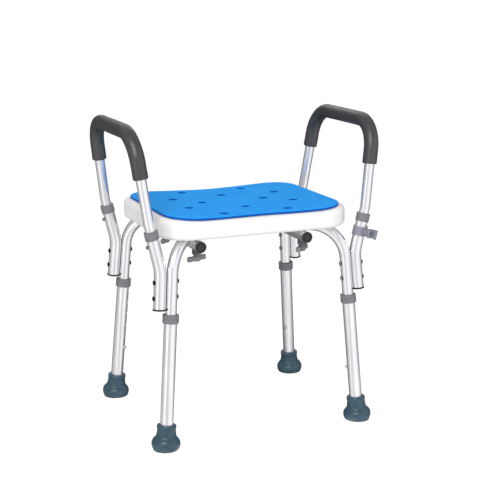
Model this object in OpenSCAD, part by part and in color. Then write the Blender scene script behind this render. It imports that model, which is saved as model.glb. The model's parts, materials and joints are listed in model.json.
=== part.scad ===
// Shower stool: a dished plastic seat on two crossed, bent aluminium leg frames,
// with telescopic lower legs, lift-off arm rests and a clip for a hand shower.
// Origin: on the floor, under the middle of the seat. X is the width, -Y the front, Z up.

/* [Seat] */
// Width of the seat, from side to side
seat_w = 398; // [380:1:410]
// Depth of the seat, from front to back
seat_d = 314; // [300:1:330]
// Radius of the seat's corners, seen from above
seat_corner_r = 64; // [50:1:70]
// Height of the seat's underside at the lowest leg setting
seat_under_z = 401; // [401:0.5:404]
// Height of the middle of the sitting surface, under the pad
seat_top_z = 437; // [434:0.5:440]
// Radius of the dish that the sitting surface follows
dish_r = 3240; // [2500:10:4000]
// Wall thickness of the hollow moulding
seat_wall = 3; // [2.5:0.5:4]
// Radius of a drain hole in the seat
drain_r = 7; // [5:0.5:8]

/* [Pad] */
// Thickness of the foam pad
pad_t = 5; // [3:0.5:6]
// Largest width of the pad
pad_w = 370; // [350:1:372]
// Largest depth of the pad
pad_d = 304; // [280:1:306]
// Radius of the pad's corners
pad_corner_r = 58; // [40:1:64]
// How much the pad narrows at the middle of its long edges, as a part of its depth
pad_waist = 0.065; // [0:0.005:0.12]
// Radius of a drain hole in the pad
pad_hole_r = 9; // [8:0.5:10]

/* [Leg frames] */
// Outer radius of a frame tube
frame_r = 11.1; // [11:0.05:11.1]
// Wall thickness of a frame tube
frame_wall = 1.4; // [1.2:0.1:1.6]
// Radius of the bend between the seat and the leg
frame_bend_r = 68; // [60:1:75]
// Distance from the stool's middle to a leg's axis, at floor level
leg_reach = 265; // [255:1:270]
// How far a leg leans out from the vertical, in degrees
leg_lean = 5.37; // [4:0.01:6]
// Direction of a leg seen from above, in degrees from the X axis
leg_azimuth = 38.13; // [37:0.01:40]
// Length along the leg from the floor to the frame tube's lower end
frame_end_s = 70; // [60:1:75]

/* [Lower legs] */
// Outer radius of a lower leg tube
lower_r = 12.7; // [12.6:0.05:13]
// Radius of the lower leg tube's bore
lower_bore_r = 11.18; // [11.15:0.01:11.2]
// Distance between the height holes
hole_pitch = 25.4; // [24:0.1:26]
// Number of height holes
hole_count = 6; // [4:1:6]
// Length along the leg from the floor to the lowest height hole
button_s = 110.4; // [105:0.1:112]
// Radius of a snap button
button_r = 3.5; // [3:0.1:3.6]

/* [Arm rests] */
// Outer radius of a socket tube
socket_r = 12; // [12:0.1:12.2]
// Radius of a socket tube's bore
socket_bore_r = 10.08; // [10.05:0.01:10.1]
// Outer radius of an arm tube
arm_r = 10; // [9.8:0.1:10]
// Wall thickness of an arm tube
arm_wall = 1.3; // [1:0.1:1.6]
// Height of the top bar of an arm rest, at its axis
arm_top_z = 605; // [590:1:620]
// Radius of the bends at the top of an arm rest
arm_bend_r = 60; // [50:1:64]
// Height of the lower ends of the foam grip
grip_end_z = 522; // [500:1:530]
// Outer radius of the foam grip
grip_r = 14.5; // [13:0.5:16]

/* [Side tubes] */
// Distance from the stool's middle to a side tube
side_x = 113.6; // [110:0.1:116]
// Half the length of a side tube
side_half = 111; // [105:1:115]

/* [Hidden] */
$fn = 64;

// the four corners, as signs of X and Y
front_left = [-1, -1];
front_right = [1, -1];
rear_left = [-1, 1];
rear_right = [1, 1];
corners = [front_left, front_right, rear_left, rear_right];

// height of the axis of the frame tubes where they run level under the seat
frame_z = 400;
frame_bore_r = frame_r - frame_wall;
// where the leg's axis meets the level stretch's axis, measured from the stool's middle
frame_corner = leg_reach - frame_z * tan(leg_lean);
// the tubes are pressed half flat where they cross
flat_half = 24;
swage_end = 34;
swage_lap = 0.5;
swage_swell = 0.3;
flat_h = 10.6;
flat_w = 28.8;
groove_r = frame_r + 0.4;
groove_half = 206;

// the side tubes lie against the underside of the frame tubes
side_z = frame_z - 2 * frame_r;
stud_r = 4;
stud_hole_r = 4.3;
wing_y = side_x * tan(leg_azimuth);
insert_r = 6;
insert_bottom = frame_z + frame_r + 0.5;
insert_top = insert_bottom + 16;

// lower legs
lower_bottom_s = 9;
lower_top_s = 256;
washer_r = 12.4;
washer_t = 1.5;
hole_r = button_r + 0.3;

// an arm socket: its lower stretch lies along the leg, its upper stretch leans out
socket_foot = [leg_reach * cos(leg_azimuth) + 3.05, 147.9, 275];
socket_elbow = [206.25, 141.5, 348];
socket_bend_r = 80;
socket_lean = 13.5;
socket_top_s = 72;
arm_end_s = 17;
arm_button_s = 50.5;

// an arm rest's axis: up out of the socket, over the kink, along the top bar
arm_kink_s = 91.5;
arm_kink = socket_elbow + along_socket(arm_kink_s);
arm_lean_x = 0.136;
arm_lean_y = 0.086;
arm_rise = arm_top_z - arm_kink.z;
arm_corner = arm_kink + arm_rise * [arm_lean_x, -arm_lean_y, 1];
grip_foot = arm_kink + (grip_end_z - arm_kink.z) * [arm_lean_x, -arm_lean_y, 1];
kink_bend_r = 60;

// the bolts that hold a socket to its leg, as height and Y
bolt_places = [[325.5, 144.1], [295.5, 146.3]];
bolt_r = 3;
bolt_head_r = 4.7;

// hand shower holder, on the front right socket
holder_s = 42;
holder_h = 18;
holder_dir = 60;
clamp_r = 14;
clamp_bore_r = socket_r + 0.03;
boss_r = 7.5;
neck_reach = 17;
pivot_r = 2;
pivot_head_r = 4;
clip_reach = 30;
clip_r = 9.8;
clip_bore_r = 7;
clip_h = 18;

// where a straight stretch runs into a bend
bend_lap = 0.4;
bend_swell = 0.02;

function unit(v) = v / norm(v);
function flip_y(p) = [p.x, -p.y, p.z];
function along_socket(s) = s * [sin(socket_lean), 0, cos(socket_lean)];
function turn(path, i) =
  acos(unit(path[i] - path[i - 1]) * unit(path[i + 1] - path[i]));
function setback(path, radii, i) =
  i == 0 || i == len(path) - 1 ? 0 : radii[i] * tan(turn(path, i) / 2);

// ---- tubes ----

// a ring, or a disc where the bore is 0
module ring(outer, bore) {
  difference() {
    circle(outer);
    if (bore > 0) circle(bore);
  }
}

// puts its child's Z axis along the line from p towards q
module aim(p, q) {
  d = q - p;
  translate(p) rotate([0, acos(d.z / norm(d)), atan2(d.y, d.x)]) children();
}

module straight(p, q, outer, bore) {
  aim(p, q) linear_extrude(norm(q - p)) ring(outer, bore);
}

// a round bend at corner p, between the directions d1 and d2; its wall is a hair thicker than
// the straight stretches', which run a little way into it
module bend(p, d1, d2, bend_r, outer, bore) {
  angle = acos(d1 * d2);
  n = unit(cross(d1, d2));
  m = cross(n, d1);
  c = p - bend_r * tan(angle / 2) * d1 + bend_r * m;
  multmatrix([
    [-m.x, d1.x, n.x, c.x],
    [-m.y, d1.y, n.y, c.y],
    [-m.z, d1.z, n.z, c.z],
    [0, 0, 0, 1]
  ]) rotate_extrude(angle = angle) translate([bend_r, 0]) ring(outer + bend_swell, bore - bend_swell);
}

// a tube along a path of corners, each rounded to its own radius
module bent_tube(path, radii, outer, bore) {
  for (i = [0 : len(path) - 2]) {
    d = unit(path[i + 1] - path[i]);
    straight(path[i] + d * max(0, setback(path, radii, i) - bend_lap),
             path[i + 1] - d * max(0, setback(path, radii, i + 1) - bend_lap), outer, bore);
  }
  for (i = [1 : len(path) - 2]) {
    bend(path[i], unit(path[i] - path[i - 1]), unit(path[i + 1] - path[i]),
         radii[i], outer, bore);
  }
}

// ---- places ----

// mirrors a rear right piece into another corner
module at_corner(corner) {
  mirror([corner.x < 0 ? 1 : 0, 0, 0]) mirror([0, corner.y < 0 ? 1 : 0, 0]) children();
}

module at_each_corner() {
  for (corner = corners) at_corner(corner) children();
}

// the rear right leg's frame: Z up along the leg from the floor, X away from the stool
module on_leg() {
  rotate([0, 0, leg_azimuth]) translate([leg_reach, 0, 0]) rotate([0, -leg_lean, 0]) children();
}

// the rear right socket's upper stretch: Z up along it from the elbow, X outwards
module on_socket() {
  translate(socket_elbow) rotate([0, socket_lean, 0]) children();
}

// ---- seat ----

// a quarter disc, between the angles from and from + 90, about its own centre
module quarter(r, from) {
  intersection() {
    circle(r, $fn = 32);
    rotate(from) square(r);
  }
}

// the seat's block, with its top and bottom edges rounded
module seat_block(inset, bottom, top, edge_r, foot_r) {
  r = seat_corner_r - inset;
  hull() {
    for (sx = [-1, 1], sy = [-1, 1]) {
      translate([sx * (seat_w / 2 - seat_corner_r), sy * (seat_d / 2 - seat_corner_r), 0])
        rotate_extrude($fn = 48) {
          translate([0, bottom]) square([r - foot_r, top - bottom]);
          translate([0, bottom + foot_r]) square([r, top - bottom - foot_r - edge_r]);
          translate([r - edge_r, top - edge_r]) quarter(edge_r, 0);
          translate([r - foot_r, bottom + foot_r]) quarter(foot_r, -90);
        }
    }
  }
}

// everything above the dished surface, lifted by the given amount
module above_dish(lift) {
  translate([0, 0, seat_top_z + dish_r]) rotate([90, 0, 0])
    cylinder(h = 2 * seat_d, r = dish_r - lift, center = true, $fn = 1440);
}

// the drain holes lie in five rows
drains = [
  for (x = [-113, 113], y = [-47, 47]) [x, y],
  for (x = [-67, 67], y = [-118, 0, 118]) [x, y],
  for (y = [-65, 65]) [0, y]
];

module at_drains() {
  for (place = drains) translate([place.x, place.y, 0]) children();
}

module at_wing_screws() {
  at_each_corner() translate([side_x, wing_y, 0]) children();
}

module frame_grooves(r) {
  for (a = [-leg_azimuth, leg_azimuth]) {
    rotate([0, 0, a]) translate([-groove_half, 0, frame_z]) rotate([0, 90, 0])
      cylinder(h = 2 * groove_half, r = r);
  }
}

module seat_shell() color("whitesmoke") {
  rim_z = seat_top_z + 5.5;
  difference() {
    seat_block(0, seat_under_z, rim_z, 12, 10);
    above_dish(0);
    difference() {
      seat_block(seat_wall, seat_under_z + seat_wall, rim_z - seat_wall, 10, 7);
      above_dish(-seat_wall);
      at_drains() translate([0, 0, frame_z]) cylinder(h = 60, r = drain_r + seat_wall);
      at_wing_screws() translate([0, 0, frame_z]) cylinder(h = 60, r = insert_r + seat_wall);
      frame_grooves(groove_r + seat_wall);
      translate([0, 0, frame_z]) cylinder(h = groove_r + seat_wall + 0.5, r = swage_end + 5);
      translate([0, 0, frame_z]) cylinder(h = 60, r = 12);
    }
    at_drains() translate([0, 0, seat_under_z - 1]) cylinder(h = 60, r = drain_r);
    at_wing_screws() translate([0, 0, frame_z]) cylinder(h = insert_top - frame_z, r = insert_r);
    frame_grooves(groove_r);
    translate([0, 0, frame_z - 10]) cylinder(h = groove_r + 10, r = swage_end + 2);
    translate([0, 0, frame_z]) cylinder(h = groove_r + 7, r = 9);
  }
}

// the pad's outline is a rounded rectangle whose long edges dip in the middle
pad_reach = pad_w / 2 - pad_corner_r;
function pad_arc(sx, sy, from) = [
  for (a = [from : 6 : from + 90])
    [sx * pad_reach + pad_corner_r * cos(a), sy * (pad_d / 2 - pad_corner_r) + pad_corner_r * sin(a)]
];
function pad_long_edge(side) = [
  for (t = [11 : -1 : -11])
    side * [t / 12 * pad_reach, pad_d / 2 * (1 - pad_waist * pow(cos(7.5 * t), 2))]
];
pad_outline = concat(pad_arc(1, 1, 0), pad_long_edge(1), pad_arc(-1, 1, 90),
                     pad_arc(-1, -1, 180), pad_long_edge(-1), pad_arc(1, -1, 270));

module seat_pad() color("dodgerblue") {
  gap = 0.05;
  difference() {
    intersection() {
      translate([0, 0, seat_top_z - 5]) linear_extrude(25) polygon(pad_outline);
      above_dish(gap);
    }
    above_dish(pad_t + gap);
    at_drains() translate([0, 0, seat_top_z - 10]) cylinder(h = 40, r = pad_hole_r);
  }
}

module seat_inserts() color("goldenrod") {
  at_wing_screws() translate([0, 0, insert_bottom]) linear_extrude(insert_top - insert_bottom)
    ring(insert_r, stud_r + 0.05);
}

// ---- leg frames ----

module stadium(w, h) {
  square([h, w - h], center = true);
  for (s = [-1, 1]) translate([0, s * (w - h) / 2]) circle(h / 2);
}

// from the round tube to the half-flat stretch, on one side of the crossing; its wall is a hair
// thicker than theirs, and both run a little way into it
module swage(side, rise, grow) {
  hull() {
    translate([side * (swage_end + swage_lap), 0, frame_z]) rotate([0, 90, 0])
      linear_extrude(0.02, center = true) circle(frame_r + grow, $fn = 32);
    translate([side * (flat_half - swage_lap), 0, frame_z + rise]) rotate([0, 90, 0])
      linear_extrude(0.02, center = true) stadium(flat_w + 2 * grow, flat_h + 2 * grow, $fn = 32);
  }
}

// a leg frame in the XZ plane; rise lifts or lowers its half-flat middle
module leg_frame(rise) {
  foot = [leg_reach - frame_end_s * sin(leg_lean), 0, frame_end_s * cos(leg_lean)];
  difference() {
    union() {
      for (side = [-1, 1]) {
        bent_tube([[side * swage_end, 0, frame_z], [side * frame_corner, 0, frame_z],
                   [side * foot.x, 0, foot.z]], [0, frame_bend_r, 0], frame_r, frame_bore_r);
        difference() {
          swage(side, rise, swage_swell);
          swage(side, rise, -frame_wall - swage_swell);
        }
      }
      translate([-flat_half, 0, frame_z + rise]) rotate([0, 90, 0]) linear_extrude(2 * flat_half)
        difference() {
          stadium(flat_w, flat_h);
          stadium(flat_w - 2 * frame_wall, flat_h - 2 * frame_wall);
        }
    }
    translate([0, 0, frame_z]) cylinder(h = 40, r = bolt_r + 0.2, center = true);
    for (side = [-1, 1]) {
      translate([side * side_x / cos(leg_azimuth), 0, frame_z])
        cylinder(h = 40, r = stud_hole_r, center = true);
      mirror([side < 0 ? 1 : 0, 0, 0]) translate([leg_reach, 0, 0]) rotate([0, -leg_lean, 0])
        translate([-20, 0, button_s]) rotate([0, 90, 0]) cylinder(h = 20, r = button_r + 0.1);
    }
  }
}

module socket_bolt_holes() {
  for (place = bolt_places) {
    translate([150, place[1], place[0]]) rotate([0, 90, 0]) cylinder(h = 90, r = bolt_r + 0.1);
  }
}

// frame A runs from the front left leg to the rear right one, frame B across it
module frame_tube_a() color("silver") {
  difference() {
    rotate([0, 0, leg_azimuth]) leg_frame(flat_h / 2 + 0.3);
    at_corner(front_left) socket_bolt_holes();
    at_corner(rear_right) socket_bolt_holes();
  }
}

module frame_tube_b() color("silver") {
  difference() {
    rotate([0, 0, -leg_azimuth]) leg_frame(-flat_h / 2 - 0.3);
    at_corner(front_right) socket_bolt_holes();
    at_corner(rear_left) socket_bolt_holes();
  }
}

// the bolt through the middle of both frames
module centre_bolt() color("dimgray") {
  translate([0, 0, frame_z - flat_h - 4.3]) cylinder(h = 4, r = 5.5);
  translate([0, 0, frame_z - flat_h - 4.3]) cylinder(h = 2 * flat_h + 9, r = bolt_r);
}

module centre_nut() color("dimgray") {
  translate([0, 0, frame_z + flat_h + 0.3]) linear_extrude(4) difference() {
    circle(5.7, $fn = 6);
    circle(bolt_r);
  }
}

// ---- side tubes ----

module side_tube(side) color("silver") {
  difference() {
    translate([side * side_x, side_half, side_z]) rotate([90, 0, 0]) linear_extrude(2 * side_half)
      ring(frame_r, frame_bore_r);
    for (end = [-1, 1]) {
      translate([side * side_x, end * wing_y, side_z]) cylinder(h = 40, r = stud_hole_r, center = true);
    }
  }
}

// ribbed plugs in the ends of the side tubes
module side_tube_plugs() color("#202020") {
  at_each_corner() translate([side_x, side_half, side_z]) rotate([-90, 0, 0]) {
    cylinder(h = 2.4, r = 11.4);
    translate([0, 0, 2.4]) cylinder(h = 0.8, r1 = 11.4, r2 = 10.4);
    translate([0, 0, -12]) cylinder(h = 12, r = 8.6);
    for (z = [-10, -6, -2]) translate([0, 0, z]) cylinder(h = 1.4, r = frame_bore_r);
  }
}

// washers shaped to the underside of the side tubes
saddle_bottom = 360;
module saddle_washers() color("#303030") {
  at_wing_screws() difference() {
    translate([0, 0, saddle_bottom]) cylinder(h = 10, r = 9);
    translate([0, 20, side_z]) rotate([90, 0, 0]) cylinder(h = 40, r = frame_r + 0.02);
    translate([0, 0, saddle_bottom - 1]) cylinder(h = 20, r = stud_hole_r);
  }
}

// a plastic wing moulded round a steel stud, turned to the given angle
wing_z = 351.5;
wing_half = 18;
wing_r = 5;
module wing_screw(corner, angle) color("gray") {
  translate([corner.x * side_x, corner.y * wing_y, 0]) rotate([0, 0, angle]) {
    translate([0, 0, wing_z - 5.5]) cylinder(h = 11, r = 7.5);
    translate([0, 0, wing_z]) cylinder(h = saddle_bottom - 0.3 - wing_z, r = 6.5);
    for (side = [-1, 1]) {
      translate([side * wing_half, 0, wing_z - wing_r]) cylinder(h = 2 * wing_r, r = wing_r);
      translate([side * wing_half / 2, 0, wing_z]) cube([wing_half, 6, 7], center = true);
    }
    translate([0, 0, wing_z]) cylinder(h = insert_top - 1 - wing_z, r = stud_r);
  }
}

// ---- arm sockets ----

socket_tip = socket_elbow + along_socket(socket_top_s);

module arm_socket() color("silver") {
  difference() {
    bent_tube([socket_foot, socket_elbow, socket_tip], [0, socket_bend_r, 0],
              socket_r, socket_bore_r);
    socket_bolt_holes();
    on_socket() translate([0, 0, arm_button_s]) rotate([0, 90, 0]) cylinder(h = 20, r = hole_r);
  }
}

// a collar closes the gap between a socket and the arm tube in it
collar_r = 13.6;
module socket_collars() color("dimgray") {
  at_each_corner() on_socket() {
    translate([0, 0, socket_top_s - 10]) linear_extrude(10) ring(collar_r, socket_r);
    translate([0, 0, socket_top_s]) rotate_extrude()
      polygon([[arm_r + 0.1, 0], [collar_r, 0], [collar_r, 6], [collar_r - 1, 7], [arm_r + 0.1, 7]]);
  }
}

// a cap's rim is cut away where it meets the leg
cap_t = 3.2;
module socket_caps() color("#1c1c1c") {
  at_each_corner() difference() {
    aim(socket_foot, socket_elbow) {
      translate([0, 0, -cap_t]) cylinder(h = cap_t, r = socket_r + 1);
      cylinder(h = 14, r = socket_bore_r);
    }
    on_leg() cylinder(h = frame_z, r = frame_r + 0.15);
  }
}

module socket_bolts() color("#1c1c1c") {
  at_each_corner() for (place = bolt_places) {
    head_x = socket_x_at(place[0]) + socket_r + 0.35;
    tail_x = leg_x_at(place[0]) - frame_r - 2;
    translate([head_x, place[1], place[0]]) rotate([0, 90, 0]) {
      cylinder(h = 0.9, r = bolt_head_r);
      translate([0, 0, 0.9]) cylinder(h = 1.3, r1 = bolt_head_r, r2 = bolt_head_r - 1.6);
    }
    translate([tail_x, place[1], place[0]]) rotate([0, 90, 0])
      cylinder(h = head_x - tail_x + 0.5, r = bolt_r);
  }
}

module socket_nuts() color("silver") {
  at_each_corner() for (place = bolt_places) {
    seat_x = leg_x_at(place[0]) - frame_r - 0.45;
    translate([seat_x, place[1], place[0]]) rotate([0, -90, 0]) {
      difference() {
        union() {
          cylinder(h = 1.4, r = bolt_head_r);
          translate([0, 0, 1.4]) cylinder(h = 1.4, r1 = bolt_head_r, r2 = bolt_head_r - 1.4);
        }
        translate([0, 0, -1]) cylinder(h = 2.6, r = bolt_r);
      }
    }
  }
}

// X of the rear right leg's axis, and of its socket's, at a height
function leg_x_at(z) = (leg_reach - z * tan(leg_lean)) * cos(leg_azimuth);
function socket_x_at(z) =
  socket_foot.x + (socket_elbow.x - socket_foot.x) * (z - socket_foot.z) / (socket_elbow.z - socket_foot.z);

// ---- lower legs ----

module lower_leg() color("silver") {
  on_leg() difference() {
    translate([0, 0, lower_bottom_s]) linear_extrude(lower_top_s - lower_bottom_s)
      ring(lower_r, lower_bore_r);
    for (i = [0 : hole_count - 1]) {
      translate([-20, 0, button_s + i * hole_pitch]) rotate([0, 90, 0]) cylinder(h = 20, r = hole_r);
    }
  }
}

// a collar over the top of the lower leg guides the frame tube
leg_collar_r = 15.8;
module leg_collar() color("dimgray") {
  skirt_h = 9.5;
  top_h = 7.5;
  on_leg() {
    translate([0, 0, lower_top_s - skirt_h]) rotate_extrude() polygon([
      [lower_r, 0], [leg_collar_r - 1, 0], [leg_collar_r, 1], [leg_collar_r, skirt_h], [lower_r, skirt_h]
    ]);
    translate([0, 0, lower_top_s]) rotate_extrude() polygon([
      [lower_bore_r, 0], [leg_collar_r, 0], [leg_collar_r, top_h - 1], [leg_collar_r - 1, top_h],
      [lower_bore_r, top_h]
    ]);
  }
}

// the foot's outline, from the floor up to its rim, as radius and height
foot_profile = [
  [0, -8], [24.4, -8], [24.4, 0.5], [26.2, 3], [27.5, 6.5], [28, 10.5], [27.6, 14.5], [26.2, 18],
  [23.8, 21], [21, 23.4], [19.7, 26], [19, 30], [18.4, 35], [18.2, 39], [18.7, 42],
  [18.9, 44.5], [18.4, 46.6], [17.2, 48], [0, 48]
];

module foot() color("#3c5f6b") {
  difference() {
    on_leg() difference() {
      rotate_extrude() polygon(foot_profile);
      translate([0, 0, lower_bottom_s]) cylinder(h = 50, r = lower_r);
      translate([0, 0, lower_bottom_s - washer_t]) cylinder(h = 3, r = washer_r + 0.1);
    }
    translate([0, 0, -50]) cube([800, 800, 100], center = true);
  }
}

// a steel washer under the tube stops it cutting through the rubber
module foot_washer() color("lightgray") {
  on_leg() translate([0, 0, lower_bottom_s - washer_t]) cylinder(h = washer_t, r = washer_r);
}

// ---- snap buttons ----

// a domed button on the X axis, with the shoulder that keeps it in its tube
module snap_button(shoulder_x, tip_x) {
  rotate([0, 90, 0]) {
    translate([0, 0, shoulder_x]) cylinder(h = 1, r = button_r + 1);
    translate([0, 0, shoulder_x]) cylinder(h = tip_x - shoulder_x - 1.2, r = button_r);
    translate([0, 0, tip_x - 1.2]) cylinder(h = 1.2, r1 = button_r, r2 = button_r - 1.2);
  }
}

// a folded leaf spring that pushes a button out along X; half_gap is the room in the tube
module leaf_spring(half_gap, shoulder_x) {
  t = 0.7;
  rotate([90, 0, 0]) linear_extrude(6, center = true) polygon([
    [shoulder_x - 0.05, -7], [shoulder_x - 0.05, 7], [-1, 34], [-2.4, 34], [-half_gap, -7],
    [t - half_gap, -7], [-1.7, 32.4], [shoulder_x - 0.05 - t, 6.6], [shoulder_x - 0.05 - t, -7]
  ]);
}

// how far the buttons stand out of their tubes, and where their shoulders are inside
leg_button_out = 4;
arm_button_out = 4.8;
leg_shoulder = frame_bore_r - 2.4;
arm_bore_r = arm_r - arm_wall;
arm_shoulder = arm_bore_r - 2.5;

module leg_button() color("silver") {
  on_leg() translate([0, 0, button_s]) mirror([1, 0, 0]) snap_button(leg_shoulder, lower_r + leg_button_out);
}

module leg_springs() color("lightsteelblue") {
  at_each_corner() on_leg() translate([0, 0, button_s]) mirror([1, 0, 0])
    leaf_spring(frame_bore_r - 0.8, leg_shoulder);
}

module arm_button() color("silver") {
  on_socket() translate([0, 0, arm_button_s]) snap_button(arm_shoulder, socket_r + arm_button_out);
}

module arm_springs(side) color("lightsteelblue") {
  for (end = [-1, 1]) at_corner([side, end]) on_socket() translate([0, 0, arm_button_s])
    leaf_spring(arm_bore_r - 0.8, arm_shoulder);
}

// ---- arm rests ----

module arm_tube(side) color("silver") {
  start = socket_elbow + along_socket(arm_end_s);
  path = [start, arm_kink, arm_corner, flip_y(arm_corner), flip_y(arm_kink), flip_y(start)];
  radii = [0, kink_bend_r, arm_bend_r, arm_bend_r, kink_bend_r, 0];
  at_corner([side, 1]) difference() {
    bent_tube(path, radii, arm_r, arm_bore_r);
    for (end = [1, -1]) at_corner([1, end]) on_socket() translate([0, 0, arm_button_s])
      rotate([0, 90, 0]) cylinder(h = 20, r = button_r + 0.1);
  }
}

module arm_grip(side) color("#3a3a3c") {
  path = [grip_foot, arm_corner, flip_y(arm_corner), flip_y(grip_foot)];
  at_corner([side, 1]) bent_tube(path, [0, arm_bend_r, arm_bend_r, 0], grip_r, arm_r + 0.05);
}

// ---- hand shower holder ----

// the clamp's frame: Z along the socket, X from the socket towards the clip
module on_holder() {
  at_corner(front_right) on_socket() translate([0, 0, holder_s]) rotate([0, 0, holder_dir]) children();
}

// the two lugs that the clamp screw draws together, turned away from the neck
lug_gap = 3;
lug_t = 4;
lug_reach = 23;
lug_turn = -120;
clamp_screw_at = 18.6;
clamp_screw_r = 2;

module on_lugs() {
  on_holder() rotate([0, 0, lug_turn]) children();
}

module holder_clamp() color("slategray") {
  difference() {
    union() {
      on_holder() {
        cylinder(h = holder_h, r = clamp_r, center = true);
        rotate([0, 90, 0]) cylinder(h = neck_reach, r = boss_r);
      }
      on_lugs() translate([lug_reach / 2, 0, 0])
        cube([lug_reach, 2 * lug_t + lug_gap, holder_h - 4], center = true);
    }
    on_holder() {
      cylinder(h = 2 * holder_h, r = clamp_bore_r, center = true);
      translate([clamp_bore_r + 0.8, 0, 0]) rotate([0, 90, 0]) cylinder(h = 10, r = pivot_r);
    }
    on_lugs() {
      translate([lug_reach / 2 + 5, 0, 0]) cube([lug_reach, lug_gap, 2 * holder_h], center = true);
      translate([clamp_screw_at, 0, 0]) rotate([90, 0, 0])
        cylinder(h = 40, r = clamp_screw_r + 0.1, center = true);
    }
    // a notch leaves the snap button free
    at_corner(front_right) on_socket() translate([0, 0, arm_button_s]) rotate([0, 90, 0])
      cylinder(h = 30, r = button_r + 1.3);
  }
}

// the clip's mouth, in degrees, how far it is turned from the neck, and the round tips beside it
clip_mouth = 96;
clip_turn = 60;
clip_tip_r = 1.9;
clip_tip_at = 8.6;
// a recess takes the pivot's head
recess_at = 21.15;

module clip_outline() {
  mouth_y = 2 * clip_r * tan(clip_mouth / 2);
  difference() {
    ring(clip_r, clip_bore_r);
    polygon([[0, 0], [2 * clip_r, -mouth_y], [2 * clip_r, mouth_y]]);
  }
  for (side = [-1, 1]) rotate(side * clip_mouth / 2) translate([clip_tip_at, 0]) circle(clip_tip_r);
}

module holder_clip() color("slategray") {
  on_holder() difference() {
    union() {
      translate([clip_reach, 0, 0]) linear_extrude(clip_h, center = true) rotate(clip_turn) clip_outline();
      difference() {
        translate([neck_reach + 0.3, 0, 0]) rotate([0, 90, 0]) cylinder(h = 5.4, r = boss_r);
        translate([clip_reach, 0, 0]) cylinder(h = 40, r = clip_bore_r + 1, center = true);
      }
    }
    translate([neck_reach, 0, 0]) rotate([0, 90, 0]) cylinder(h = 10, r = pivot_r + 0.05);
    translate([recess_at, 0, 0]) rotate([0, 90, 0]) cylinder(h = 8, r = pivot_head_r + 0.3);
  }
}

// the screw that the clip swivels on
module holder_pivot() color("lightgray") {
  on_holder() rotate([0, 90, 0]) {
    translate([0, 0, clamp_bore_r + 0.9]) cylinder(h = recess_at - clamp_bore_r - 0.8, r = pivot_r);
    translate([0, 0, recess_at + 0.05]) cylinder(h = 1.7, r = pivot_head_r);
  }
}

module clamp_screw() color("lightgray") {
  on_lugs() translate([clamp_screw_at, 0, 0]) rotate([90, 0, 0]) {
    translate([0, 0, lug_gap / 2 + lug_t]) cylinder(h = 2.6, r = 3.6);
    translate([0, 0, -lug_gap / 2 - lug_t - 4]) cylinder(h = 2 * lug_t + lug_gap + 5, r = clamp_screw_r);
  }
}

module clamp_nut() color("lightgray") {
  on_lugs() translate([clamp_screw_at, lug_gap / 2 + lug_t, 0]) rotate([-90, 0, 0])
    linear_extrude(3) difference() {
      circle(4, $fn = 6);
      circle(clamp_screw_r);
    }
}

seat_shell();
seat_pad();
seat_inserts();
frame_tube_a();
frame_tube_b();
centre_bolt();
centre_nut();
side_tube(-1);  // side_tube_left
side_tube(1);  // side_tube_right
side_tube_plugs();
saddle_washers();
wing_screw(front_left, 22);  // wing_screw_fl
wing_screw(front_right, 41);  // wing_screw_fr
wing_screw(rear_left, 50);  // wing_screw_rl
wing_screw(rear_right, -20);  // wing_screw_rr
at_corner(front_left) arm_socket();  // arm_socket_fl
at_corner(front_right) arm_socket();  // arm_socket_fr
at_corner(rear_left) arm_socket();  // arm_socket_rl
at_corner(rear_right) arm_socket();  // arm_socket_rr
socket_collars();
socket_caps();
socket_bolts();
socket_nuts();
at_corner(front_left) lower_leg();  // lower_leg_fl
at_corner(front_right) lower_leg();  // lower_leg_fr
at_corner(rear_left) lower_leg();  // lower_leg_rl
at_corner(rear_right) lower_leg();  // lower_leg_rr
at_corner(front_left) leg_collar();  // leg_collar_fl
at_corner(front_right) leg_collar();  // leg_collar_fr
at_corner(rear_left) leg_collar();  // leg_collar_rl
at_corner(rear_right) leg_collar();  // leg_collar_rr
at_corner(front_left) foot();  // foot_fl
at_corner(front_right) foot();  // foot_fr
at_corner(rear_left) foot();  // foot_rl
at_corner(rear_right) foot();  // foot_rr
at_corner(front_left) foot_washer();  // foot_washer_fl
at_corner(front_right) foot_washer();  // foot_washer_fr
at_corner(rear_left) foot_washer();  // foot_washer_rl
at_corner(rear_right) foot_washer();  // foot_washer_rr
at_corner(front_left) leg_button();  // leg_button_fl
at_corner(front_right) leg_button();  // leg_button_fr
at_corner(rear_left) leg_button();  // leg_button_rl
at_corner(rear_right) leg_button();  // leg_button_rr
leg_springs();
arm_tube(-1);  // arm_tube_left
arm_tube(1);  // arm_tube_right
arm_grip(-1);  // arm_grip_left
arm_grip(1);  // arm_grip_right
at_corner(front_left) arm_button();  // arm_button_fl
at_corner(front_right) arm_button();  // arm_button_fr
at_corner(rear_left) arm_button();  // arm_button_rl
at_corner(rear_right) arm_button();  // arm_button_rr
arm_springs(-1);  // arm_springs_left
arm_springs(1);  // arm_springs_right
holder_clamp();
holder_clip();
holder_pivot();
clamp_screw();
clamp_nut();
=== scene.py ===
"""Looks of the shower stool: a dished plastic seat with a foam pad on two crossed tube frames,
with telescopic legs, lift-off arm rests and a clip for a hand shower.
Lengths are in metres. X is the stool's width, -Y its front, Z up; the feet stand at Z 0."""

import json
import math

import bmesh
import bpy
from mathutils import Matrix, Vector, noise


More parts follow.
